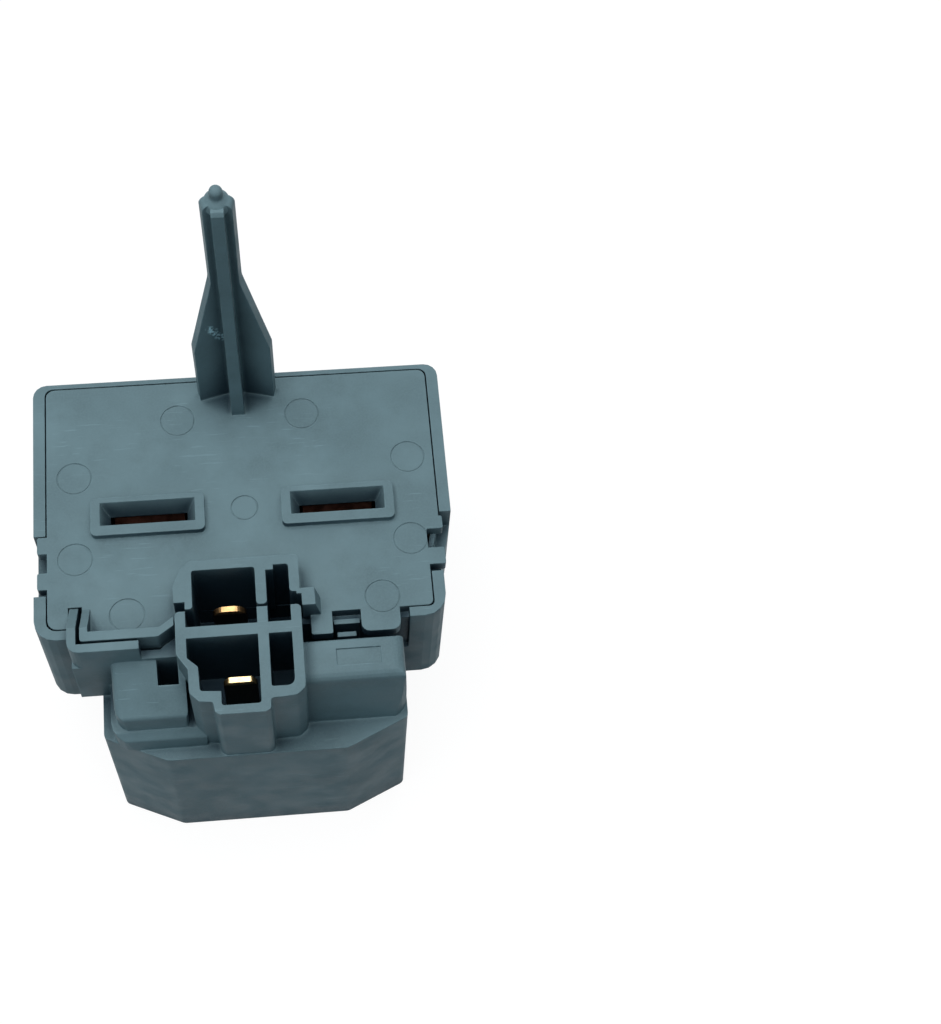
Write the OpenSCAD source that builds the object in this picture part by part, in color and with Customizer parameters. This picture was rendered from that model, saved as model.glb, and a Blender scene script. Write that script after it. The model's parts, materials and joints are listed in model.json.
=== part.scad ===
// Plug-on start relay for a refrigerator compressor, lying on its open skirt.
// X runs across the cover, Y away from the harness shroud, Z out of the cover's face.
// Heights below are measured from the cover's face, and lengths from the capacitor slots' centre line.

/* [Housing] */
// Width across the rim of the housing
body_w = 60.4; // [58:0.2:66]
// Reach of the rim above the slots' centre line
top_reach = 22.4; // [22:0.2:26]
// Reach of the rim's lower corners below the slots' centre line
low_reach = 18.6; // [18.4:0.2:19.4]
// Depth of the tray that holds the contacts
tray_d = 22; // [21:0.5:26]
// Height of the cover's face above the surface that the skirt stands on
face_h = 45; // [42:0.5:50]
// Wall of the tray, of the skirt and of the floors
wall = 1.7; // [1.4:0.1:2]
// How far the narrow lower right corner stands in from the rim
corner_inset = 1.9; // [1:0.1:2.4]

/* [Skirt and pads] */
// Width of the eight-sided skirt
skirt_w = 44.2; // [43.6:0.2:46]
// How far the skirt's front face stands out from the rim's lower edge
skirt_step = 14.4; // [14:0.1:15.4]
// Depth of the skirt's shelf below the face
shelf_d = 13.5; // [13:0.25:15]
// Height of the right pad above the face
pad_rise = 0.5; // [0:0.1:1]
// Depth of the left pad's front edge below the face
pad_drop = 5.4; // [4.6:0.1:6.4]

/* [Cover] */
// Thickness of the cover plate
cover_t = 2; // [1.6:0.1:2.4]
// Seam between the cover and the rim
seam = 0.2; // [0.1:0.05:0.3]
// Rim beside the cover
rim_t = 1.7; // [1.4:0.1:2]
// Rim above the cover
rim_top_t = 0.7; // [0.5:0.1:1.2]
// Height of the post's shoulders above the face
post_h = 49.5; // [44:0.5:54]
// Half-width of the post below its shoulders
post_half = 2.2; // [2:0.1:2.6]
// Half-width of the post at its foot
foot_half = 5.8; // [5:0.1:6.4]

/* [Capacitor slots] */
// Distance between the two slots
slot_pitch = 27.5; // [27:0.25:30]
// Length and width of a slot's mouth
slot_l = 13.7; // [13:0.1:14.4]
slot_w = 3.65; // [3.4:0.05:4]
// Length and width of a slot's throat
throat_l = 11.1; // [10.8:0.1:11.6]
throat_w = 1.9; // [1.6:0.1:2.2]
// Height of the rim round a slot
slot_rise = 1.2; // [0.8:0.1:1.6]

/* [Harness shroud] */
// Height of the shroud above the face
hood_rise = 4; // [3.5:0.25:5]
// Depth of the shroud's seam with the housing below the face
shroud_d = 11; // [10:0.25:12]
// Depth of the upper cells' floor below the face
upper_cell_d = 15.5; // [14:0.25:16]
// Width and thickness of a harness blade
blade_w = 4.8; // [4.4:0.1:5.2]
blade_t = 0.8; // [0.6:0.1:1]
// Depth of a blade's tip below the face
tip_d = 2.4; // [1:0.2:4]

/* [Contacts] */
// Thickness of the stamped straps
strap_t = 0.8; // [0.6:0.05:1]
// Diameter and thickness of the ceramic pill
pill_d = 16; // [14:0.5:16.5]
pill_t = 3; // [2.4:0.1:3.4]
// Diameter of the compressor's pins
pin_d = 2.3; // [2:0.05:2.6]
// Distance between the start and run pins
pin_pitch = 12.8; // [12.4:0.1:13.4]
// Diameter of the overload protector
guard_d = 27.4; // [26.4:0.1:27.6]

/* [Hidden] */
$fn = 48;

tiny = 0.01;
plastic = [0.45, 0.54, 0.56];
copper = [0.62, 0.36, 0.24];
gilt = [0.80, 0.66, 0.38];
steel = [0.66, 0.67, 0.68];
front_reach = low_reach + skirt_step;
plan_shift = (front_reach - top_reach) / 2;

// Levels, all from the cover's face
under_cover = -cover_t;
tray_under = -tray_d;
tray_floor = tray_under + wall;
shelf = -shelf_d;
stand = -face_h;
shroud_floor = -shroud_d;
upper_floor = -upper_cell_d;
lower_floor = shelf + 0.9;
pocket_floor = shelf - 0.7;
side_floor = under_cover - 3;
rest_t = 0.6;
strap_z = tray_floor + rest_t;
strap_top = strap_z + strap_t;

// Plan of the housing
half_w = body_w / 2;
low_half = half_w - corner_inset;
ledge = 0.8;
in_half = half_w - rim_t - ledge;
in_low = low_half - rim_t - ledge;
cover_half = half_w - rim_t - seam;
cover_low = low_half - rim_t - seam;
cover_top = top_reach - rim_top_t - seam;
tray_back = cover_top - ledge;
cover_foot = low_reach - rim_t + 0.1;
side_top = -2.4;
side_low = -11.8;
step_left = -25.2;
step_reach = low_reach + 3.7;
ramp_top = -low_reach + 4.6;
strip_t = 1.25;
tongue_left = step_left + strip_t + 0.55;
tongue_reach = step_reach - strip_t - seam;
tongue_low = -tongue_reach + seam;
tongue_bend = -12.6;
groove_x = 22.9;
tab_reach = -low_reach - 1.8;
block_top = -cover_foot + 0.1;
room_back = block_top - 1;
latch_left = 11.8;
latch_right = 15.9;
notch_top = -5.06;
notch_low = -8.1;
pad_slope = atan2(pad_drop, front_reach - step_reach - 2.6);
pad_left = -19.8;
pad_right = -9.4;

// Plan of the skirt
skirt_half = skirt_w / 2;
skirt_back = top_reach - 2;
knee_x = 13;
knee_drop = 4.1;
skirt_wall = wall + 0.1;

// Plan of the harness shroud
shroud_wall = 1.45;
hood_left = -10.2;
cell_left = hood_left + shroud_wall;
cell_mid = 1.25;
mid_t = 1.5;
slim_left = cell_mid + mid_t;
slim_right = 6;
hood_right = slim_right + shroud_wall;
pocket_right = 0.1;
bar_top = -low_reach - 1;
bar_low = bar_top - 1.7;
upper_top = bar_top + 8.55;
cell_low = bar_low - 7.9;
stub_top = bar_top + 2.4;
nose_left = -4.2;
nose_low = cell_low - 2.3;
nose_front = cell_low - 3.6;
upper_blade_y = bar_top + 5;
lower_blade_y = bar_low - 4.2;
upper_blade_x = -2.8;
lower_blade_x = -1.75;
hood_top = upper_top + 1.55;
hood_end = bar_top + 4.4;
floor_top = upper_top + 1.85;

// Post
fin_t = 1.6;
flare_top = post_h - 18.5;
flare_low = 14.2;
nub_r = 0.9;
cap_r = 1.85;
nub_h = 2.3;

// Inner pieces
slot_x = slot_pitch / 2;
slot_y = -0.1;
clip_l = throat_l - 0.9;
pill_y = tray_back - pill_d / 2 - 2.5;
pill_z = strap_top + pill_d / 2 + 0.6;

pin_x = pin_pitch / 2;
tube_r = pin_d / 2 + 0.85;
bore_r = tube_r + 0.1;
common_strap_y = pill_y + 6.75;
tab_x = 9.5;
tab_y = block_top + 1.4;
lane_gap = 0.5;
common_strap_w = 2.4;
lane_left = slot_x + clip_l / 2 + lane_gap;
lane_right = in_low - lane_gap;
tower_d = 14;
tower_low = tray_under - tower_d;
flange_r = 3.1;
guard_r = guard_d / 2;
ring_gap = 0.2;
ring_t = 1.4;
guard_y = -front_reach + skirt_wall + ring_gap + 0.1 + guard_r;
pair_y = guard_y + guard_r + ring_gap + ring_t + 5.3;
common_y = pair_y + 10.2;
sheet_t = 0.2;
terminal_z = tray_under - sheet_t - strap_t;
base_t = 5;
base_low = terminal_z - base_t;
disc_r = guard_r - 4.1;
stud_x = disc_r - 2.6;
stud_r = 1.5;
stud_head = 2.1;
head_t = 1;
lid_wall = 0.5;
lid_d = 9;
disc_t = 0.4;
contact_t = 0.9;
heater_r = guard_r - 3.3;
heater_wire = 0.45;
screw_r = 1.25;

// Outline helpers: each point is [x, y, radius], and a strip is a bent line with a thickness
function unit(v) = v / norm(v);
function fillet(a, b, c, r, n) =
    r == 0 ? [b] :
    let(u = unit(a - b), v = unit(c - b), half = acos(max(-1, min(1, u * v))) / 2,
        o = b + unit(u + v) * r / sin(half), s = b + u * r / tan(half) - o, e = b + v * r / tan(half) - o,
        from = atan2(s[1], s[0]), turn = atan2(e[1], e[0]) - from,
        sweep = turn > 180 ? turn - 360 : turn < -180 ? turn + 360 : turn)
    [for (k = [0:n]) o + r * [cos(from + sweep * k / n), sin(from + sweep * k / n)]];
function xy(p) = [p[0], p[1]];
function rounded(p, n = 4) =
    [for (i = [0:len(p) - 1])
        each fillet(xy(p[(i + len(p) - 1) % len(p)]), xy(p[i]), xy(p[(i + 1) % len(p)]), p[i][2], n)];
function box_pts(x0, y0, x1, y1, r) = [[x0, y0, r], [x1, y0, r], [x1, y1, r], [x0, y1, r]];
function left_of(a, b) = let(d = unit(b - a)) [-d[1], d[0]];
function side(p, i) =
    i == 0 ? left_of(p[0], p[1]) :
    i == len(p) - 1 ? left_of(p[i - 1], p[i]) :
    let(a = left_of(p[i - 1], p[i]), b = left_of(p[i], p[i + 1]), m = unit(a + b)) m / (m * a);
function strip(p, t) =
    concat([for (i = [0:len(p) - 1]) p[i] + side(p, i) * t / 2],
           [for (i = [len(p) - 1:-1:0]) p[i] - side(p, i) * t / 2]);

// Everything is drawn from the cover's face and then lifted to its standing height
module on_face() translate([0, plan_shift, face_h]) children();
module slab(z0, z1) translate([0, 0, z0]) linear_extrude(z1 - z0) children();
module across(x0, x1) translate([x0, 0, 0]) rotate([90, 0, 90]) linear_extrude(x1 - x0) children();
module along(y0, y1) translate([0, y1, 0]) rotate([90, 0, 0]) linear_extrude(y1 - y0) children();
module bar(x0, y0, z0, x1, y1, z1) translate([x0, y0, z0]) cube([x1 - x0, y1 - y0, z1 - z0]);
module rod(x, y, z0, z1, r) translate([x, y, z0]) cylinder(h = z1 - z0, r = r);

// Plans shared by the housing and the cover
module tray_plan() {
    polygon(rounded([[-half_w, top_reach, 2], [half_w, top_reach, 2], [half_w, side_top, 1],
                     [low_half, side_low + 2, 1], [low_half, -low_reach, 3.2], [-half_w, -low_reach, 3]]));
}
module tray_room() {
    polygon(rounded([[-in_half, tray_back, 1.5], [in_half, tray_back, 1.5], [in_half, side_top, 0.5],
                     [in_low, side_low + 2, 0.5], [in_low, block_top, 1], [-in_half, block_top, 1]]));
}
module cover_plan(g) {
    polygon(rounded([
        [-cover_half - g, cover_top + g, 1.2], [cover_half + g, cover_top + g, 1.2],
        [cover_half + g, side_top + 0.8, 0], [cover_half + g, notch_top - g, 0.3],
        [cover_low + g, notch_top - g, 0],
        [cover_low + g, notch_low + g, 0], [cover_half + g, notch_low + g, 0.3],
        [cover_half + g, -10.7 - g, 0.3],
        [cover_low + g, -10.7 - g, 0], [cover_low + g, -cover_foot - g, 0.8],
        [step_left + 0.05, -cover_foot - g, 0],
        [-cover_half - g, -cover_foot - g, 1.4]]));
}
module skirt_plan(g) {
    h = skirt_half - g;
    f = front_reach - g;
    k = g * 0.4;
    polygon(rounded([[-h, skirt_back - g, 4 - g], [h, skirt_back - g, 4 - g],
        [h, -f + knee_drop - k / 2, 1],
                     [knee_x - k, -f, 2], [-knee_x + k, -f, 2], [-h, -f + knee_drop - k / 2, 1]]));
}
module shroud_plan() {
    polygon(rounded([[hood_left, stub_top, 0.6], [hood_left, bar_low - 2.3, 1], [-8.65, bar_low - 4.6, 0.8],
        [-8.6, cell_low - 0.2, 1],
                     [-7.3, cell_low - 1.5, 0.6], [-5.4, cell_low - 1.7, 0.3],
                     [-5.15, nose_front + 0.4, 0.6], [-4.5, nose_front, 0.3],
                     [1.8, nose_front, 0.4], [2.5, nose_front + 0.4, 0.5], [2.6, cell_low - 1.7, 0.4],
                     [6.2, cell_low - 1.5, 1],
                     [hood_right, cell_low - 0.4, 1], [hood_right, stub_top, 0.6]], 3));
}

// Rear housing: tray, skirt, step wall, pads, lower half of the shroud, sockets' tower and protector's ring
module tray() {
    difference() {
        union() {
            slab(tray_under, under_cover) tray_plan();
            // The rim stands up to the face above the side openings and round the two lower corners
            intersection() {
                slab(under_cover - tiny, 0) tray_plan();
                union() {
                    bar(-half_w, side_top, under_cover - tiny, half_w, top_reach, 0);
                    bar(-half_w, -low_reach, under_cover - tiny, step_left, side_low, 0);
                    bar(groove_x, -low_reach, under_cover - tiny, half_w, side_low, 0);
                }
            }
        }
        slab(tray_floor, 1) tray_room();
        slab(under_cover, 1) cover_plan(seam);
    }
}
module skirt() {
    difference() {
        union() {
            slab(stand, tray_under + tiny) skirt_plan(0);
            intersection() {
                slab(tray_under, shelf) skirt_plan(0);
                bar(-skirt_half, -front_reach, tray_under, skirt_half, -low_reach + 1, shelf);
            }
        }
        difference() {
            union() {
                slab(stand - 1, tray_under) skirt_plan(skirt_wall);
                intersection() {
                    slab(stand - 1, shelf - wall) skirt_plan(skirt_wall);
                    bar(-half_w, -front_reach, stand - 1, half_w, -low_reach, 0);
                }
            }
        }
    }
}
module left_pad() {
    f = front_reach;
    back = -step_reach + 1;
    // Upper tier, whose top slopes down to the front
    intersection() {
        across(pad_left, pad_right)
            polygon(rounded([[back, 0, 0], [-f + 3.6, -pad_drop, 1.1], [-f + 3.4, -9.6, 0.4],
                [-f + 3.2, shelf - tiny, 0], [back, shelf - tiny, 0]]));
        translate([0, back, -2 * tiny]) rotate([pad_slope, 0, 0]) along(-f, 1)
            polygon(rounded([[pad_left, -f, 0], [pad_right, -f, 0], [pad_right, 0, 0],
                [pad_left, 0, 1.3]]));
        slab(shelf - tiny, 1) polygon(rounded([[pad_left, back, 0], [pad_left, -f + 3.3, 2.4],
            [pad_right, -f + 3.3, 1], [pad_right, back, 0]]));
    }
    // Lower tier runs on to the shroud
    intersection() {
        across(-20.6, -6.5) polygon(rounded([[back, -9.2, 0], [-f + 3.2, -9.2, 0.6], [-f + 2.1, -10.4, 0.8],
            [-f + 1.9, shelf - tiny, 0], [back, shelf - tiny, 0]]));
        slab(shelf - tiny, 1) polygon(rounded([[-20.6, back, 0], [-20.6, -f + 1.9, 3], [-7, -f + 1.9, 0.5],
                [-7, back, 0]]));
    }
}
module right_pad() {
    f = front_reach;
    back = bar_low - 0.2;
    difference() {
        intersection() {
            across(slim_right, skirt_half) polygon(rounded([[back, pad_rise, 0.5],
                [-f + 5.6, pad_rise, 1.5],
                    [-f + 4.3, shelf - tiny, 0], [back, shelf - tiny, 0]]));
            along(-f, back + 1) polygon(rounded([[slim_right, shelf - tiny, 0],
                [skirt_half, shelf - tiny, 0],
                    [skirt_half - 0.5, pad_rise, 1.6], [slim_right, pad_rise, 0]]));
            slab(shelf - tiny, 2) polygon(rounded([[slim_right, back + 1, 0], [slim_right, -f + 4, 0],
                    [skirt_half, -f + 4, 3.2], [skirt_half, back + 1, 2]]));
        }
        // Shallow recess in its top
        bar(12, back - 4, pad_rise - 0.3, 18.3, back - 1.5, pad_rise + 1);
    }
}
// The wall round the cover's tongue rises above the face to the shroud's height by a short ramp
module step_wall() {
    bar(step_left, -step_reach, shelf, cell_left, -low_reach + 1, under_cover);
    difference() {
        slab(under_cover - tiny, hood_rise) polygon(rounded([[step_left, ramp_top, 0],
            [step_left, -step_reach, 1.6],
            [-15.3, -step_reach, 0], [-15.3, -step_reach + strip_t, 0],
            [step_left + strip_t, -step_reach + strip_t, 0],
            [step_left + strip_t, ramp_top, 0]]));
        across(step_left - 1, step_left + strip_t + 1)
            polygon([[ramp_top + 1, -tiny], [ramp_top, -tiny], [ramp_top - 4.5, hood_rise],
                [ramp_top - 4.5, hood_rise + 1],
                [ramp_top + 1, hood_rise + 1]]);
    }
    // Gusset between the wall's end and the shroud
    slab(under_cover - tiny, 0) polygon([[-17.6, -step_reach], [cell_left, -step_reach],
        [cell_left, stub_top - 1.4],
        [hood_left, stub_top - 1.4], [tongue_bend, -step_reach + strip_t], [-17.6, -step_reach + strip_t]]);
}
module shroud_base() {
    slab(shelf - tiny, hood_rise) shroud_plan();
    bar(hood_left, bar_top - 0.2, upper_floor - wall, hood_right, floor_top, shroud_floor);
    for (x = [hood_left, slim_right])
        bar(x, -low_reach + 1, tray_floor - tiny, x + shroud_wall, floor_top, upper_floor - wall + tiny);
}
// The four cells that take the harness plug
module cells() {
    slab(upper_floor, hood_rise + 1) {
        polygon([[cell_left, bar_top], [cell_mid, bar_top], [cell_mid, upper_top],
            [cell_left + 1.05, upper_top],
            [cell_left + 1.05, hood_end - 1.7], [cell_left, hood_end - 1.7]]);
        polygon([[slim_left, bar_top], [slim_right, bar_top], [slim_right, upper_top],
            [slim_left, upper_top]]);
    }
    slab(lower_floor, hood_rise + 1)
        polygon(rounded([[cell_left, bar_low, 0], [cell_left, bar_low - 2.9, 0.4],
            [-7.25, bar_low - 4.3, 0.4],
            [-7.1, cell_low, 0.4], [nose_left, cell_low - 0.2, 0], [nose_left, nose_low, 0.4],
            [cell_mid, nose_low, 0.4],
            [cell_mid, bar_low, 0]]));
    bar(nose_left - 0.1, cell_low - 0.2, pocket_floor, pocket_right, bar_low, lower_floor + tiny);
    bar(nose_left + 0.01, nose_low + 0.1, pocket_floor, cell_mid - 0.01, cell_low, lower_floor + tiny);
    slab(shroud_floor, hood_rise + 1) polygon(rounded([[slim_left, bar_low, 0], [slim_left, cell_low, 0.3],
        [slim_right, cell_low, 1], [slim_right, bar_low, 0]]));
}
// Snap tongue and stop that show in the cover's latch opening
module latch() {
    bar(latch_left + 0.2, -low_reach, shelf - tiny, latch_right - 0.2, room_back, under_cover + 0.8);
    bar(latch_left + 0.6, tab_reach, shelf - tiny, latch_right - 0.8, tab_reach + 0.7, under_cover + 0.4);
}
module blade_hole(x, y) bar(x - blade_w / 2 - 0.1, y - blade_t / 2 - 0.1, tray_under - 1,
    x + blade_w / 2 + 0.1,
                            y + blade_t / 2 + 0.1, 0);
module tower() {
    difference() {
        slab(tower_low, tray_under + tiny) polygon(rounded([[-pin_x - 4.4, pair_y - 4, 3.8],
            [pin_x + 4.4, pair_y - 4, 3.8],
            [5.2, common_y + 4.6, 4], [-5.2, common_y + 4.6, 4]]));
        pin_places() rod(0, 0, tower_low - tiny, tower_low + 1.6, pin_d / 2 + 1.4);
    }
}
module pin_places() {
    for (p = [[-pin_x, pair_y], [pin_x, pair_y], [0, common_y]]) translate([p[0], p[1], 0]) children();
}
module guard_ring() {
    difference() {
        union() {
            rod(0, guard_y, base_low - lid_d - 1, tray_under + tiny, guard_r + ring_gap + ring_t);
            intersection() {
                rod(0, guard_y, tray_under, shelf - wall + tiny, guard_r + ring_gap + ring_t);
                bar(-skirt_half, -front_reach + skirt_wall / 2, tray_under, skirt_half, -low_reach + tiny,
                    0);
            }
        }
        rod(0, guard_y, base_low - lid_d - 2, tray_under, guard_r + ring_gap);
        intersection() {
            rod(0, guard_y, tray_under - 1, shelf - wall, guard_r + ring_gap);
            bar(-skirt_half, -front_reach, tray_under - 1, skirt_half, -low_reach, 0);
        }
        // Two windows let the retaining nubs spring
        for (s = [-1, 1]) bar(s * 12 - 4, guard_y - 1.2, base_low - lid_d - 2, s * 12 + 4, guard_y + 1.2,
            base_low - lid_d + 1);
    }
}
module cradle() {
    for (s = [-1, 1]) {
        bar(s * 6.6 - 0.6, pair_y + flange_r + 0.5, tray_floor - tiny, s * 6.6 + 0.6, pill_y + 5,
            pill_z + 3);
    }
    for (y = [pill_y - pill_d / 2 - 1.4, pill_y + pill_d / 2 + 0.2])
        bar(-1.3, y, tray_floor - tiny, 1.3, y + 1.2, pill_z);
    // Small rests under the straps
    lane = (lane_left + lane_right) / 2;
    for (p = [[-slot_x - 2.6, -0.5], [slot_x + 2.6, -0.5], [-4.2, -8], [lane, -9], [lane, 9],
        [slot_x, common_strap_y]])
        rod(p[0], p[1], tray_floor - tiny, strap_z, 0.9);
}
module rear_housing() color(plastic) on_face() {
    difference() {
        union() {
            tray();
            skirt();
            step_wall();
            left_pad();
            right_pad();
            shroud_base();
            latch();
            tower();
            guard_ring();
            cradle();
        }
        cells();
        // Room under the cover's tongue and tabs, either side of the shroud
        slab(shelf + wall, 1) polygon([[tongue_left - 0.35, -tongue_reach], [tongue_bend, -tongue_reach],
            [hood_left - 0.1, tongue_low + 1.3], [hood_left - 0.1, room_back],
            [tongue_left - 0.35, room_back]]);
        difference() {
            bar(hood_right, tab_reach - 0.3, shelf + wall, groove_x, room_back, 1);
            latch();
        }
        // The side walls stand lower beside the cover's tabs
        slab(side_floor, 1) {
            polygon([[in_half + ledge, side_top], [half_w + 1, side_top], [half_w + 1, side_low],
                [in_low + ledge, side_low],
                [in_low + ledge, side_low + 2]]);
            polygon([[-half_w - 1, side_low], [-in_half - ledge, side_low], [-in_half - ledge, side_top],
                [-half_w - 1, side_top]]);
        }
        // The pads are cored from below
        bar(-18, -front_reach + 5, shelf - wall - 1, -11.9, -step_reach - 1.2, -pad_drop - wall - 0.6);
        bar(hood_right + wall, -front_reach + 6.4, shelf - wall - 1, skirt_half - skirt_wall - 0.3,
            bar_low - 1.3, pad_rise - wall);
        // Square inspection hole through the left pad
        bar(-13.3, -step_reach - 3.1, shelf, hood_left - 0.15, -step_reach, 1);
        // Blade slits, socket bores and the slot for the protector's tab
        blade_hole(upper_blade_x, upper_blade_y);
        blade_hole(lower_blade_x, lower_blade_y);
        pin_places() rod(0, 0, tower_low - 1, 0, bore_r);
        bar(tab_x - 1.3, tab_y - 0.7, tray_under - 1, tab_x + 1.3, tab_y + 0.7, tray_floor + 1);
    }
}

// Front cover with its funnels, hood and post
module funnel() {
    z0 = under_cover;
    z1 = slot_rise;
    intersection() {
        along(-slot_l, slot_l) polygon([[-throat_l / 2, z0 - 1], [throat_l / 2, z0 - 1], [throat_l / 2, z0],
            [slot_l / 2, z1], [slot_l / 2, z1 + 1], [-slot_l / 2, z1 + 1], [-slot_l / 2, z1],
            [-throat_l / 2, z0]]);
        across(-slot_l, slot_l) polygon([[slot_y - throat_w / 2, z0 - 1], [slot_y + throat_w / 2, z0 - 1],
            [slot_y + throat_w / 2, z0], [slot_w / 2, z1], [slot_w / 2, z1 + 1], [-slot_w / 2, z1 + 1],
            [-slot_w / 2, z1], [slot_y - throat_w / 2, z0]]);
    }
}
module slot_rim() slab(0, slot_rise) polygon(rounded(box_pts(-8.2, -3.35, 8.2, 2.65, 0.8)));
module half_fin() {
    rotate([90, 0, 0]) translate([0, 0, -fin_t / 2]) linear_extrude(fin_t)
        polygon(rounded([[0, -tiny, 0], [foot_half, -tiny, 0], [foot_half - 0.05, flare_low, 3],
            [post_half, flare_top, 5],
            [post_half, post_h, 1.2], [0, post_h, 0]], 6));
}
module post() {
    front = post_h - 0.3;
    translate([0, cover_top - 1, 0]) {
        for (s = [0, 1]) mirror([s, 0, 0]) rotate([0, 0, -14]) half_fin();
        rod(0, 0, -tiny, post_h - 1, 1);
        // Solid cap and the nub that the ear clips on
        rotate_extrude() polygon(rounded([[0, post_h - 2.6, 0], [1.2, post_h - 2.6, 0],
            [cap_r, post_h - 1.4, 0.6],
            [cap_r - 0.2, post_h - 0.2, 0.5], [nub_r, post_h + 0.5, 0.3],
            [nub_r, post_h + nub_h, nub_r - tiny],
            [0, post_h + nub_h, 0]], 6));
        // Front fin, thinner towards its top
        intersection() {
            across(-1.2, 1.2) polygon([[0, -tiny], [-4.95, -tiny], [-3.85, 20], [-2.4, front - 0.6],
                [-2, front], [0, front]]);
            along(-6, 1) polygon([[-0.95, -tiny], [0.95, -tiny], [0.85, post_h], [-0.85, post_h]]);
        }
    }
}
module hood_plan() {
    x = cell_left + 1.05;
    polygon(rounded([[cell_left, hood_top, 1.2], [hood_right, hood_top, 0.6], [hood_right, hood_end, 0.5],
        [slim_right, hood_end, 0.5], [slim_right, upper_top + 0.15, 0.4],
        [slim_left + 1.1, upper_top + 0.15, 0],
        [slim_left + 1.1, upper_top - 0.6, 0], [slim_left, upper_top - 0.6, 0],
        [slim_left, hood_end - 1.6, 0.5],
        [cell_mid, hood_end - 1.6, 0.5], [cell_mid, upper_top, 0.4], [x, upper_top, 0.4],
        [x, hood_end - 1.7, 0.4], [cell_left, hood_end - 1.7, 0]], 3));
}
module web_plan() {
    polygon(rounded([[cell_left + 0.5, hood_top - 0.7, 0], [cell_left - 0.3, hood_top - 0.7, 1],
        [hood_left - 0.2, hood_end + 1.8, 1.5],
        [hood_left - 0.1, hood_end - 0.6, 0], [cell_left + 0.5, hood_end - 0.6, 0]], 3));
}
module hood() {
    // The walls of the upper half reach down to the shroud's floor
    slab(shroud_floor + seam, hood_rise) hood_plan();
    slab(under_cover, hood_rise) web_plan();
    // Raised block beside the hood, with a drafted flank
    intersection() {
        slab(-1, hood_rise) polygon(rounded([[hood_right - 0.5, hood_end + 0.4, 0],
            [10.6, hood_end + 0.4, 0.5],
            [10.6, hood_end - 2.2, 0.5], [hood_right + seam, hood_end - 2.2, 0],
            [hood_right + seam, hood_end - 0.4, 0],
            [hood_right - 0.5, hood_end - 0.4, 0]]));
        along(-front_reach, 0) polygon([[6, -2], [10.3, -2], [10.3, 0], [9.3, hood_rise + 1],
            [6, hood_rise + 1]]);
    }
}
module tongue() {
    low = tongue_low;
    difference() {
        slab(under_cover, hood_rise) polygon(rounded([[tongue_left, ramp_top, 0.2], [tongue_left, low, 0.4],
            [tongue_bend, low, 1],
            [hood_left - seam, low + 1.5, 0], [hood_left - seam, low + 2.8, 0], [-12.4, low + 1.4, 1],
            [tongue_left + 1.1, low + 1.4, 0], [tongue_left + 1.1, ramp_top, 0.2]]));
        across(tongue_left - 1, tongue_left + 1.1 + tiny)
            polygon([[ramp_top + 1, 0], [ramp_top - 0.2, 0], [ramp_top - 4.6, hood_rise],
                [ramp_top - 4.6, hood_rise + 1],
                [ramp_top + 1, hood_rise + 1]]);
    }
    slab(under_cover, 0) polygon([[tongue_left, ramp_top], [tongue_left, low], [tongue_bend, low],
        [hood_left - seam, low + 1.5],
        [hood_left - seam, ramp_top]]);
}
module tabs() {
    for (y = [[-5.2, -2.4 - seam], [-11 + seam, -8.2]])
        slab(under_cover, 0) polygon(rounded(box_pts(-half_w + 0.5, y[0], -cover_half + 1, y[1], 0.3)));
    for (y = [[notch_top, -3.05], [-10.7, notch_low]])
        slab(under_cover, 0) polygon(rounded(box_pts(cover_half - 1, y[0], cover_half + 0.5, y[1], 0.3)));
    // Tabs either side of the latch opening
    slab(under_cover, 0) polygon(rounded([[hood_right + 1.3, block_top + 0.9, 0],
        [hood_right + 1.3, tab_reach, 0.3],
        [latch_left, tab_reach, 0.3], [latch_left, block_top + 0.9, 0]]));
    slab(under_cover, 0) polygon(rounded([[latch_right, block_top + 0.9, 0], [latch_right, tab_reach, 1.2],
        [21.5, tab_reach, 1.2],
        [21.5, block_top + 0.9, 0]]));
}
module front_cover() color(plastic) on_face() {
    difference() {
        union() {
            difference() {
                slab(under_cover, 0) cover_plan(0);
                // Slit for the step wall, and the cut-outs for the shroud's cells and for its lower half
                bar(step_left - seam, -front_reach, -9, tongue_left - 0.05, ramp_top + 0.2, 9);
                bar(cell_left + 0.3, -front_reach, -9, hood_right - 0.5, upper_top + 0.55, 9);
                bar(hood_left - seam, -front_reach, -9, 0, hood_end - 0.6, 9);
                bar(0, -front_reach, -9, hood_right + seam, hood_end, 9);
            }
            for (s = [-1, 1]) translate([s * slot_x, 0, 0]) slot_rim();
            hood();
            tongue();
            tabs();
            post();
        }
        for (s = [-1, 1]) translate([s * slot_x, 0, 0]) funnel();
        // Shallow round marks of the mould's ejector pins
        for (m = ejector_marks) {
            rod(m[0], m[1], -0.06, 1, m[2]);
            difference() {
                rod(m[0], m[1], -0.16, 0, m[2]);
                rod(m[0], m[1], -1, 1, m[2] - 0.18);
            }
        }
    }
}
ejector_marks = [[0.2, 0.2, 2], [-24.3, -6.4, 2.55], [24, -6.4, 2.55], [-24.3, 6.6, 2.55],
    [24.6, 6.9, 2.55],
                 [-9, 15.2, 2.55], [9.4, 15.2, 2.55], [-17.1, -15.5, 2.55], [19.2, -15.2, 2.55]];

// Capacitor clip: two leaves that open at the mouth, close on the blade and join at the foot
module clip() {
    mouth = under_cover - 0.5;
    foot = strap_top + 0.25;
    half = [[1.5, mouth], [0.75, mouth - 2.6], [0.7, mouth - 3.4], [1.9, mouth - 8], [1.9, foot]];
    translate([0, slot_y, 0]) across(-clip_l / 2, clip_l / 2)
        polygon(strip(concat(half, [for (i = [len(half) - 1:-1:0]) [-half[i][0], half[i][1]]]), 0.5));
}
module capacitor_contact_start() color(copper) on_face() translate([-slot_x, 0, 0]) clip();
module capacitor_contact_run() color(copper) on_face() translate([slot_x, 0, 0]) clip();

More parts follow.
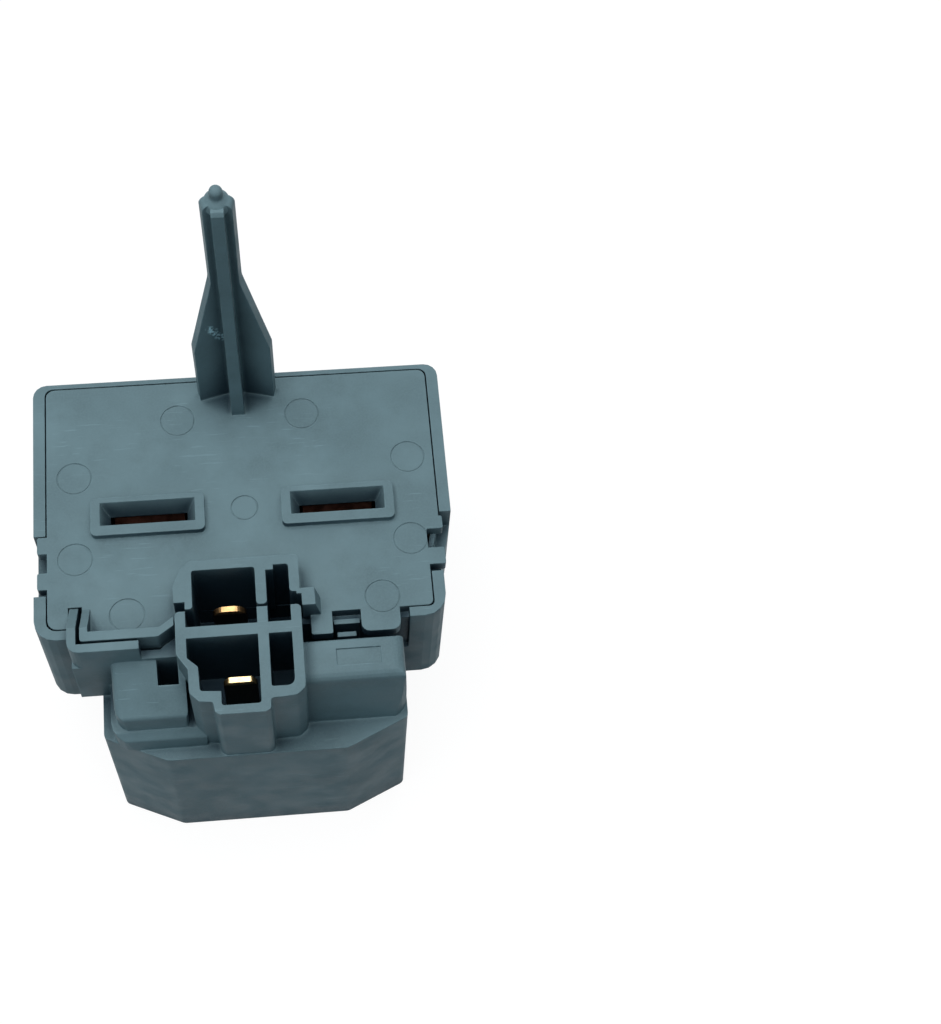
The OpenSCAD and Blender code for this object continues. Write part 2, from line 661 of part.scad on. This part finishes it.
// Harness blades with rounded tips
module blade(low, tip_w, tip_r) {
    rotate([90, 0, 0]) translate([0, 0, -blade_t / 2]) linear_extrude(blade_t)
        polygon(rounded([[-blade_w / 2, low, 0], [blade_w / 2, low, 0], [blade_w / 2, -tip_d - 1.4, 0.5],
            [tip_w / 2, -tip_d, tip_r], [-tip_w / 2, -tip_d, tip_r], [-blade_w / 2, -tip_d - 1.4, 0.5]]));
}
module harness_blade_neutral() color(gilt) on_face() translate([upper_blade_x, upper_blade_y, 0])
    blade(strap_top, 3.2, 1.4);
module harness_blade_line() color(gilt) on_face() translate([lower_blade_x, lower_blade_y, 0])
    blade(terminal_z + strap_t, 3.5, 0.5);

// Ceramic pill on edge between its two springs
module ptc_disc() color([0.25, 0.24, 0.24]) on_face() translate([0, pill_y, pill_z])
    rotate([0, 90, 0]) cylinder(h = pill_t, r = pill_d / 2, center = true);
module spring(s) {
    x0 = pill_t / 2 + 0.2;
    x1 = 6 - 0.2;
    path = [[x1 - 1.6, strap_top + 0.2], [x1, strap_top + 0.2], [x1, pill_z - 6], [x0, pill_z - 2.6],
        [x0, pill_z + 2.6],
            [x1, pill_z + 6]];
    mirror([s < 0 ? 1 : 0, 0, 0]) along(pill_y - 5, pill_y + 5) polygon(strip(path, 0.4));
}
module ptc_spring_start() color(steel) on_face() spring(-1);
module ptc_spring_run() color(steel) on_face() spring(1);

// Sockets for the compressor's pins: a flanged tube with two slits
module socket() {
    difference() {
        union() {
            rod(0, 0, tower_low + 2.2, tray_floor, tube_r);
            rod(0, 0, tray_floor, strap_z, flange_r);
        }
        rod(0, 0, tower_low, tray_floor - 1, pin_d / 2);
        for (a = [0, 90]) rotate([0, 0, a]) bar(-0.25, -5, tower_low, 0.25, 5, tower_low + 8);
    }
}
module start_socket() color(gilt) on_face() translate([-pin_x, pair_y, 0]) socket();
module run_socket() color(gilt) on_face() translate([pin_x, pair_y, 0]) socket();
module common_socket() color(gilt) on_face() translate([0, common_y, 0]) socket();

// Stamped straps lie on the flanges
module strap_plate(p) slab(strap_z, strap_top) polygon(rounded(p));
module start_strap() color(gilt) on_face()
    strap_plate([[-slot_x - 4, -2.6, 0.5], [-slot_x + 4, -2.6, 0.5], [-pin_x + 2.8, pair_y - 2.8, 1],
                 [-pin_x + 2.8, pair_y + 1.5, 0.5], [-4, pair_y + 1.8, 0], [-4, pill_y + 5, 0.5],
                 [-5.9, pill_y + 5, 0.5], [-5.9, pair_y + 2.8, 0.5], [-slot_x - 4, pair_y, 1]]);
module run_strap() color(gilt) on_face()
    strap_plate([[slot_x + 4, -2.6, 0.5], [slot_x + 4, pair_y, 1], [5.9, pair_y + 2.8, 0.5],
        [5.9, pill_y + 5, 0.5],
                 [4, pill_y + 5, 0.5], [4, pair_y + 1.8, 0], [pin_x - 2.8, pair_y + 1.5, 0.5],
                 [pin_x - 2.8, pair_y - 2.8, 1], [-5, -4, 1], [-5.6, upper_blade_y - 1.4, 0.5],
                 [0, upper_blade_y - 1.4, 0.5], [0.6, -8, 1], [slot_x - 4, -3.4, 1]]);
module common_strap() color(gilt) on_face() {
    y = common_strap_y;
    h = common_strap_w / 2;
    strap_plate([[-h, common_y - 1.6, 0.5], [h, common_y - 1.6, 0.5], [h, y - h, 0], [lane_left, y - h, 0],
        [lane_left, tab_y + h, 0], [tab_x - 1.3, tab_y + h, 0.5], [tab_x - 1.3, tab_y - h, 0.5],
        [lane_right, tab_y - h, 1], [lane_right, y + h, 1], [-h, y + h, 0.5]]);
}

// Overload protector under the tray
module insulator_sheet() color([0.7, 0.66, 0.52]) on_face() difference() {
    intersection() {
        rod(0, guard_y, tray_under - sheet_t, tray_under, guard_r - 0.2);
        bar(-20, -low_reach + 0.2, tray_under - 1, 20, 20, 0);
    }
    bar(tab_x - 1.3, tab_y - 0.7, tray_under - 1, tab_x + 1.3, tab_y + 0.7, 0);
}
module protector_terminal_line() color(gilt) on_face() {
    foot = blade_w / 2 + 0.35;
    slab(terminal_z, terminal_z + strap_t) polygon(rounded([[-stud_x - 2, guard_y - 2, 1],
        [-stud_x - 2, guard_y + 2, 1],
        [-stud_x + 2, guard_y + 2, 1], [-stud_x + 2, guard_y - 4, 1],
        [lower_blade_x + foot, lower_blade_y + 1.5, 0.5],
        [lower_blade_x + foot, lower_blade_y - 1.5, 0.5], [lower_blade_x - foot, lower_blade_y - 1.5,
        0.5]]));
}
module protector_terminal_common() color(gilt) on_face() {
    slab(terminal_z, terminal_z + strap_t)
        polygon(rounded(box_pts(stud_x - 2, guard_y - 2, tab_x + 1.1, max(guard_y + 2, tab_y + 0.4), 0.5)));
    bar(tab_x - 1.1, tab_y - 0.4, terminal_z, tab_x + 1.1, tab_y + 0.4, strap_z);
}
module protector_base() color([0.33, 0.2, 0.14]) on_face() difference() {
    rod(0, guard_y, base_low, terminal_z, guard_r);
    rod(0, guard_y, base_low - 1, base_low + 1.2, guard_r - 2.6);
    for (s = [-1, 1]) rod(s * stud_x, guard_y, base_low - 1, terminal_z + 1, stud_r);
    rod(0, guard_y, base_low - 1, terminal_z + 1, screw_r);
}
module fixed_contacts() color(steel) on_face() for (s = [-1, 1]) {
    rod(s * stud_x, guard_y, base_low + 1.2 - tiny, terminal_z, stud_r);
    rod(s * stud_x, guard_y, base_low + 1.2 - head_t, base_low + 1.2, stud_head);
}
module heater() color(steel) on_face() translate([0, guard_y, base_low + 1.2 - heater_wire])
    rotate([0, 0, 20]) rotate_extrude(angle = 320) translate([heater_r, 0]) circle(r = heater_wire,
        $fn = 16);
module bimetal_disc() color(steel) on_face() {
    z = base_low + 1.2 - head_t - contact_t;
    translate([0, guard_y, z]) rotate_extrude()
        polygon(strip([[1.5, -1 - disc_t / 2], [2.9, -1 - disc_t / 2], [5, -disc_t / 2],
            [disc_r, -disc_t / 2]], disc_t));
}
module moving_contacts() color([0.8, 0.8, 0.78]) on_face() {
    z = base_low + 1.2 - head_t;
    for (s = [-1, 1]) rod(s * stud_x, guard_y, z - contact_t, z, 1.5);
}
module calibration_screw() color(gilt) on_face() difference() {
    head = base_low + 1.2 - head_t - contact_t - 1 - disc_t;
    union() {
        rod(0, guard_y, head - 1, terminal_z, screw_r);
        rod(0, guard_y, head - 1.6, head, 2.4);
    }
    bar(-3, guard_y - 0.3, head - 2, 3, guard_y + 0.3, head - 0.9);
}
module protector_lid() color(steel) on_face() difference() {
    rod(0, guard_y, base_low - lid_d, base_low, guard_r);
    rod(0, guard_y, base_low - lid_d + lid_wall, base_low + 1, guard_r - lid_wall);
    rod(0, guard_y, base_low - lid_d - 1, base_low, 3.2);
}

rear_housing();
front_cover();
capacitor_contact_start();
capacitor_contact_run();
harness_blade_neutral();
harness_blade_line();
ptc_disc();
ptc_spring_start();
ptc_spring_run();
start_socket();
run_socket();
common_socket();
start_strap();
run_strap();
common_strap();
insulator_sheet();
protector_terminal_line();
protector_terminal_common();
protector_base();
fixed_contacts();
heater();
bimetal_disc();
moving_contacts();
calibration_screw();
protector_lid();
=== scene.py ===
"""Looks for the compressor start relay: materials, softened edges, light and the photograph's camera."""
import json
import math

import bpy
from mathutils import Matrix, Vector

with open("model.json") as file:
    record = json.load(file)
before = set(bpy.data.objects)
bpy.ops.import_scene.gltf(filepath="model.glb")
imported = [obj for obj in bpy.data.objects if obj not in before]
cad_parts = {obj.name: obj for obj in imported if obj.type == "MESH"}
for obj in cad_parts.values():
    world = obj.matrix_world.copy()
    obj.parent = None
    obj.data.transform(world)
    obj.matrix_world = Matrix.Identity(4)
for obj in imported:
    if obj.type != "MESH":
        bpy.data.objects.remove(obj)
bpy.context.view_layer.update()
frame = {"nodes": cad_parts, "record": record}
nodes = frame["nodes"]
MM = 0.001

# The photograph's view, solved from the housing's parallel edges
PHOTO_LONG_SIDE = 1024
FOCAL_PX = 1986.17
SENSOR_MM = 36.0
YAW, PITCH, ROLL = 11.872, 64.479, 7.067
CAMERA_MM = (7.25, -120.39, 307.96)

# Top of the harness blades above the floor
BLADE_TIP_MM = 42.6

# Pale scrapes where the moulding was knocked: centre and reach, mm
SCRAPES = (((-2.9, 24.4, 64.8), 0.7), ((-2.4, 24.4, 63.8), 0.9), ((-2.0, 24.4, 62.9), 0.7),
           ((-1.5, 24.4, 61.9), 0.9), ((-1.1, 24.5, 61.2), 0.7))

# Colours, linear
PLASTIC = (0.114, 0.176, 0.197)
# Copper darkened to dark brown: painted shade for the copper that lies in the slots' shadow
COPPER_IN_PAINTED_SHADE = (0.24, 0.13, 0.10)
GILT = (0.80, 0.60, 0.30)
RUBBED_GILT = (0.62, 0.38, 0.17)
# Painted shade colour for the deep cavities of the plastic
CAVITY_PAINTED_SHADE = (0.010, 0.026, 0.042)
TINNED = (0.62, 0.62, 0.60)
STEEL = (0.52, 0.53, 0.54)
SILVER = (0.82, 0.81, 0.78)
PHENOLIC = (0.045, 0.020, 0.012)
CERAMIC = (0.035, 0.032, 0.032)
MICA = (0.52, 0.44, 0.28)


# Materials
class Shader:
    """A material with one principled shader, and short calls for the nodes that vary it."""

    def __init__(self, name, color, roughness, metallic=0.0):
        self.material = bpy.data.materials.new(name)
        self.material.use_nodes = True
        self.tree = self.material.node_tree
        self.bsdf = self.tree.nodes["Principled BSDF"]
        self.bsdf.inputs["Base Color"].default_value = (*color, 1)
        self.bsdf.inputs["Roughness"].default_value = roughness
        self.bsdf.inputs["Metallic"].default_value = metallic
        self.place = self.node("ShaderNodeTexCoord").outputs["Object"]

    def node(self, kind, **values):
        made = self.tree.nodes.new(kind)
        for key, value in values.items():
            setattr(made, key, value)
        return made

    def link(self, source, target):
        self.tree.links.new(source, target)

    def noise(self, size, detail=3.0, rough=0.55, stretch=(1, 1, 1)):
        """Noise whose features are about size metres across."""
        mapping = self.node("ShaderNodeMapping")
        mapping.inputs["Scale"].default_value = [k / size for k in stretch]
        texture = self.node("ShaderNodeTexNoise")
        texture.inputs["Scale"].default_value = 1.0
        texture.inputs["Detail"].default_value = detail
        texture.inputs["Roughness"].default_value = rough
        self.link(self.place, mapping.inputs["Vector"])
        self.link(mapping.outputs["Vector"], texture.inputs["Vector"])
        return texture.outputs["Fac"]

    def ramp(self, source, low, high, start, end):
        """source from start to end becomes a value from low to high."""
        mapped = self.node("ShaderNodeMapRange")
        mapped.inputs["From Min"].default_value = start
        mapped.inputs["From Max"].default_value = end
        mapped.inputs["To Min"].default_value = low
        mapped.inputs["To Max"].default_value = high
        self.link(source, mapped.inputs["Value"])
        return mapped.outputs["Result"]

    def blend(self, factor, first, second):
        mix = self.node("ShaderNodeMix", data_type="RGBA")
        for socket, value in ((mix.inputs[6], first), (mix.inputs[7], second)):
            if isinstance(value, tuple):
                socket.default_value = (*value, 1)
            else:
                self.link(value, socket)
        self.link(factor, mix.inputs[0])
        return mix.outputs[2]

    def math(self, operation, first, second):
        made = self.node("ShaderNodeMath", operation=operation)
        for socket, value in zip(made.inputs, (first, second)):
            if isinstance(value, (int, float)):
                socket.default_value = value
            else:
                self.link(value, socket)
        return made.outputs[0]

    def scale(self, source, factor):
        return self.math("MULTIPLY", source, factor)

    def product(self, first, second):
        return self.math("MULTIPLY", first, second)

    def rounded_normal(self, radius):
        made = self.node("ShaderNodeBevel")
        made.samples = 6
        made.inputs["Radius"].default_value = radius
        return made.outputs["Normal"]

    def edge_mask(self, radius):
        """1 along edges, where the rounded normal leaves the true one, and 0 on open faces."""
        aligned = self.node("ShaderNodeVectorMath", operation="DOT_PRODUCT")
        self.link(self.rounded_normal(radius), aligned.inputs[0])
        self.link(self.node("ShaderNodeNewGeometry").outputs["Normal"], aligned.inputs[1])
        return self.ramp(aligned.outputs["Value"], 1, 0, 0.86, 0.99)

    def open_sky(self, reach):
        """1 on open faces, falling towards 0 in deep recesses."""
        made = self.node("ShaderNodeAmbientOcclusion")
        made.samples = 6
        made.inputs["Distance"].default_value = reach
        return made.outputs["AO"]

    def near(self, centre, reach):
        """1 at a place on the part, falling to 0 at reach from it."""
        gap = self.node("ShaderNodeVectorMath", operation="DISTANCE")
        gap.inputs[1].default_value = centre
        self.link(self.place, gap.inputs[0])
        return self.ramp(gap.outputs["Value"], 1, 0, reach * 0.5, reach)

    def soften(self, radius):
        self.link(self.rounded_normal(radius), self.bsdf.inputs["Normal"])

    def bump(self, source, height, strength=1.0):
        made = self.node("ShaderNodeBump")
        made.inputs["Distance"].default_value = height
        made.inputs["Strength"].default_value = strength
        self.link(source, made.inputs["Height"])
        previous = self.bsdf.inputs["Normal"].links
        if previous:
            self.link(previous[0].from_socket, made.inputs["Normal"])
        self.link(made.outputs["Normal"], self.bsdf.inputs["Normal"])


def scaled(color, k):
    return tuple(c * k for c in color)


def plastic():
    """Grey glass-filled moulding: faint flow marks, fine grain, rubbed edges with a painted highlight, a few light
    scuffs, and painted shade in deep cavities.
    """
    made = Shader("grey_plastic", PLASTIC, 0.5)
    made.bsdf.inputs["Specular IOR Level"].default_value = 0.09
    cloud = made.ramp(made.noise(8 * MM, detail=4), 0, 1, 0.35, 0.65)
    tone = made.blend(cloud, scaled(PLASTIC, 0.90), scaled(PLASTIC, 1.09))
    smear = made.ramp(made.noise(13 * MM, detail=5, rough=0.65), 0, 1, 0.46, 0.66)
    tone = made.blend(smear, tone, scaled(PLASTIC, 1.2))
    grain = made.ramp(made.noise(0.3 * MM, detail=1), 0, 1, 0.35, 0.75)
    tone = made.blend(made.scale(grain, 0.5), tone, scaled(PLASTIC, 1.14))
    # Painted highlight along the edges, together with rubbed wear: edges are lighter where the noise lets them be
    edge = made.edge_mask(0.35 * MM)
    patchy = made.ramp(made.noise(1.6 * MM), 0.25, 1, 0.38, 0.62)
    tone = made.blend(made.product(edge, patchy), tone, scaled(PLASTIC, 1.5))
    # Scuffs: thin stretched streaks
    streak = made.ramp(made.noise(2.2 * MM, detail=2, stretch=(0.5, 6, 6)), 0, 1, 0.63, 0.70)
    patch = made.ramp(made.noise(11 * MM, detail=1), 0, 1, 0.48, 0.60)
    tone = made.blend(made.scale(made.product(streak, patch), 0.4), tone, scaled(PLASTIC, 1.6))
    # Scrapes: torn, silvery flakes at the places where the plastic was knocked
    torn = made.ramp(made.noise(0.5 * MM, detail=3), 0, 1, 0.46, 0.54)
    for centre, reach in SCRAPES:
        spot = made.near(scaled(centre, MM), reach * MM)
        tone = made.blend(made.product(spot, torn), tone, scaled(PLASTIC, 4.6))
    # Painted shade: deep cavities are darkened towards a near-black blue by ambient occlusion, while small grooves
    # and seams keep the body's colour
    wide = made.open_sky(14 * MM)
    close = made.math("MAXIMUM", made.open_sky(0.6 * MM), 0.1)
    painted_cavity_shade = made.ramp(made.math("DIVIDE", wide, close), 0.04, 1, 0.3, 0.66)
    tone = made.blend(painted_cavity_shade, CAVITY_PAINTED_SHADE, tone)
    made.link(tone, made.bsdf.inputs["Base Color"])
    made.link(made.ramp(made.noise(4 * MM), 0.46, 0.60, 0.35, 0.65), made.bsdf.inputs["Roughness"])
    made.soften(0.3 * MM)
    made.bump(made.noise(0.22 * MM, detail=2), 0.006 * MM, 0.6)
    made.bump(made.noise(2.4 * MM, detail=2), 0.010 * MM, 0.4)
    return made.material


def sheet_metal(name, color, roughness, dull=0.78):
    """Stamped sheet with drawn streaks and duller patches."""
    made = Shader(name, color, roughness, 1.0)
    patch = made.ramp(made.noise(2.5 * MM), 0, 1, 0.4, 0.62)
    made.link(made.blend(patch, color, scaled(color, dull)), made.bsdf.inputs["Base Color"])
    made.link(made.ramp(made.noise(0.9 * MM, stretch=(1, 1, 0.15)), roughness - 0.06, roughness + 0.10, 0.35, 0.65),
              made.bsdf.inputs["Roughness"])
    made.bump(made.noise(0.3 * MM, stretch=(1, 1, 0.2)), 0.004 * MM, 0.5)
    return made.material


def blade_metal(name, color):
    """The harness blades keep their metal colour at their tips, and further down in the cavity a painted shade
    makes them near black.
    """
    made = Shader(name, color, 0.4, 1.0)
    split = made.node("ShaderNodeSeparateXYZ")
    made.link(made.place, split.inputs[0])
    height = made.ramp(split.outputs["Z"], 0, 1, BLADE_TIP_MM * MM - 1.3 * MM, BLADE_TIP_MM * MM - 0.5 * MM)
    patch = made.ramp(made.noise(1.2 * MM), 0, 1, 0.4, 0.62)
    tone = made.blend(patch, scaled(color, 0.75), scaled(color, 1.15))
    # Painted shade: below the tip the blade colour falls to 5 percent
    made.link(made.blend(height, scaled(color, 0.05), tone), made.bsdf.inputs["Base Color"])
    return made.material


def plain(name, color, roughness, speck=0.15):
    made = Shader(name, color, roughness)
    fleck = made.ramp(made.noise(0.8 * MM), 0, 1, 0.4, 0.6)
    made.link(made.blend(fleck, scaled(color, 1 - speck), scaled(color, 1 + speck)), made.bsdf.inputs["Base Color"])
    return made.material


finishes = {
    "plastic": plastic(),
    "copper": sheet_metal("copper_sheet", COPPER_IN_PAINTED_SHADE, 0.46, 0.5),
    "gilt": sheet_metal("gilt_brass", GILT, 0.42),
    "tinned": sheet_metal("spring_steel", TINNED, 0.30),
    "ceramic": plain("dark_ceramic", CERAMIC, 0.55),
    "phenolic": plain("phenolic", PHENOLIC, 0.45),
    "mica": plain("mica", MICA, 0.5),
    "zinc_steel": sheet_metal("zinc_plate", STEEL, 0.36),
    "silver": sheet_metal("silver_contact", SILVER, 0.25),
}
for part in frame["record"]["subparts"]:
    shown = nodes[part["node"]]
    shown.data.materials.clear()
    shown.data.materials.append(finishes[part["material_slot"]])
for name, color in (("harness_blade_neutral", RUBBED_GILT), ("harness_blade_line", GILT)):
    nodes[name].data.materials.clear()
    nodes[name].data.materials.append(blade_metal(name + "_finish", color))


# Moulded and stamped edges are slightly rounded, and rounded walls are shaded smooth
EDGE_MM = {"rear_housing": 0.22, "front_cover": 0.2}
SMOOTH_BELOW = math.radians(34)


def smooth_group():
    """Shades faces smooth and keeps edges sharper than SMOOTH_BELOW crisp."""
    tree = bpy.data.node_groups.new("smooth_by_angle", "GeometryNodeTree")
    tree.interface.new_socket("Geometry", in_out="INPUT", socket_type="NodeSocketGeometry")
    tree.interface.new_socket("Geometry", in_out="OUTPUT", socket_type="NodeSocketGeometry")
    source = tree.nodes.new("NodeGroupInput")
    target = tree.nodes.new("NodeGroupOutput")
    faces = tree.nodes.new("GeometryNodeSetShadeSmooth")
    faces.domain = "FACE"
    faces.inputs["Shade Smooth"].default_value = True
    edges = tree.nodes.new("GeometryNodeSetShadeSmooth")
    edges.domain = "EDGE"
    edges.inputs["Shade Smooth"].default_value = False
    angle = tree.nodes.new("GeometryNodeInputMeshEdgeAngle")
    sharp = tree.nodes.new("FunctionNodeCompare")
    sharp.data_type = "FLOAT"
    sharp.operation = "GREATER_THAN"
    sharp.inputs[1].default_value = SMOOTH_BELOW
    tree.links.new(angle.outputs["Unsigned Angle"], sharp.inputs[0])
    tree.links.new(source.outputs[0], faces.inputs["Geometry"])
    tree.links.new(faces.outputs["Geometry"], edges.inputs["Geometry"])
    tree.links.new(sharp.outputs[0], edges.inputs["Selection"])
    tree.links.new(edges.outputs["Geometry"], target.inputs[0])
    return tree


smooth = smooth_group()
for name, shown in nodes.items():
    flat = shown.modifiers.new("flat_faces", "DECIMATE")
    flat.decimate_type = "DISSOLVE"
    flat.angle_limit = math.radians(0.5)
    soft = shown.modifiers.new("edge", "BEVEL")
    soft.width = EDGE_MM.get(name, 0.06) * MM
    soft.segments = 2
    soft.limit_method = "ANGLE"
    soft.angle_limit = math.radians(35)
    soft.use_clamp_overlap = True
    shown.modifiers.new("smooth", "NODES").node_group = smooth
    weigh = shown.modifiers.new("weigh", "WEIGHTED_NORMAL")
    weigh.keep_sharp = True


# Floor, light and camera
def background_rays(tree):
    """1 for the rays that see the white background: straight, mirrored or through glass."""
    path = tree.nodes.new("ShaderNodeLightPath")
    seen = path.outputs["Is Camera Ray"]
    for kind in ("Is Glossy Ray", "Is Transmission Ray"):
        either = tree.nodes.new("ShaderNodeMath")
        either.operation = "MAXIMUM"
        tree.links.new(seen, either.inputs[0])
        tree.links.new(path.outputs[kind], either.inputs[1])
        seen = either.outputs[0]
    return seen


def floor():
    bpy.ops.mesh.primitive_plane_add(size=6, location=(0, 0, -0.0002))
    ground = bpy.context.object
    ground.name = "floor"
    material = bpy.data.materials.new("pale_floor")
    material.use_nodes = True
    tree = material.node_tree
    tree.nodes.clear()
    out = tree.nodes.new("ShaderNodeOutputMaterial")
    matt = tree.nodes.new("ShaderNodeBsdfDiffuse")
    matt.inputs["Color"].default_value = (0.14, 0.18, 0.20, 1)
    pale = tree.nodes.new("ShaderNodeBsdfDiffuse")
    pale.inputs["Color"].default_value = (0.9, 0.9, 0.9, 1)
    glow = tree.nodes.new("ShaderNodeEmission")
    glow.inputs["Strength"].default_value = 1.06
    lit = tree.nodes.new("ShaderNodeMixShader")
    lit.inputs[0].default_value = 0.88
    either = tree.nodes.new("ShaderNodeMixShader")
    tree.links.new(background_rays(tree), either.inputs[0])
    tree.links.new(matt.outputs[0], either.inputs[1])
    tree.links.new(lit.outputs[0], either.inputs[2])
    tree.links.new(pale.outputs[0], lit.inputs[1])
    tree.links.new(glow.outputs[0], lit.inputs[2])
    tree.links.new(either.outputs[0], out.inputs["Surface"])
    ground.data.materials.append(material)


def sky(strength, tint):
    world = bpy.data.worlds.new("studio")
    bpy.context.scene.world = world
    world.use_nodes = True
    tree = world.node_tree
    back = tree.nodes["Background"]
    pick = tree.nodes.new("ShaderNodeMix")
    pick.data_type = "RGBA"
    pick.inputs[6].default_value = (*scaled(tint, strength), 1)
    pick.inputs[7].default_value = (1, 1, 1, 1)
    tree.links.new(background_rays(tree), pick.inputs[0])
    tree.links.new(pick.outputs[2], back.inputs["Color"])


def lamp(name, place, aim, width, energy, color=(1, 1, 1)):
    light = bpy.data.lights.new(name, "AREA")
    light.size = width
    light.energy = energy
    light.color = color
    holder = bpy.data.objects.new(name, light)
    bpy.context.collection.objects.link(holder)
    holder.location = place
    holder.rotation_euler = (Vector(aim) - Vector(place)).to_track_quat("-Z", "Y").to_euler()


def camera():
    made = bpy.data.cameras.new("photo_view")
    made.sensor_width = SENSOR_MM
    made.lens = FOCAL_PX / PHOTO_LONG_SIDE * SENSOR_MM
    made.clip_start = 0.01
    holder = bpy.data.objects.new("photo_view", made)
    bpy.context.collection.objects.link(holder)
    yaw, pitch, roll = (math.radians(a) for a in (YAW, PITCH, ROLL))
    ahead = Vector((math.sin(yaw) * math.cos(pitch), math.cos(yaw) * math.cos(pitch), -math.sin(pitch)))
    level = Vector((math.cos(yaw), -math.sin(yaw), 0))
    above = level.cross(ahead)
    right = level * math.cos(roll) + above * math.sin(roll)
    up = above * math.cos(roll) - level * math.sin(roll)
    turn = Matrix((right, up, -ahead)).transposed().to_4x4()
    holder.matrix_world = Matrix.Translation(Vector(CAMERA_MM) * MM) @ turn
    bpy.context.scene.camera = holder


floor()
sky(0.14, (0.68, 0.98, 1.14))
middle = Vector((0, 0, 45 * MM))
lamp("top_light", (-0.04, 0.00, 0.42), middle, 0.30, 1.52)
lamp("left_light", (-0.55, -0.35, 0.20), middle, 0.40, 0.37, (0.66, 0.90, 1.0))
lamp("right_light", (0.45, -0.45, 0.20), middle, 0.40, 0.18, (0.66, 0.90, 1.0))
lamp("back_light", (0.30, 0.60, 0.30), middle, 0.40, 0.85)
camera()
bpy.context.scene.view_settings.view_transform = "Standard"
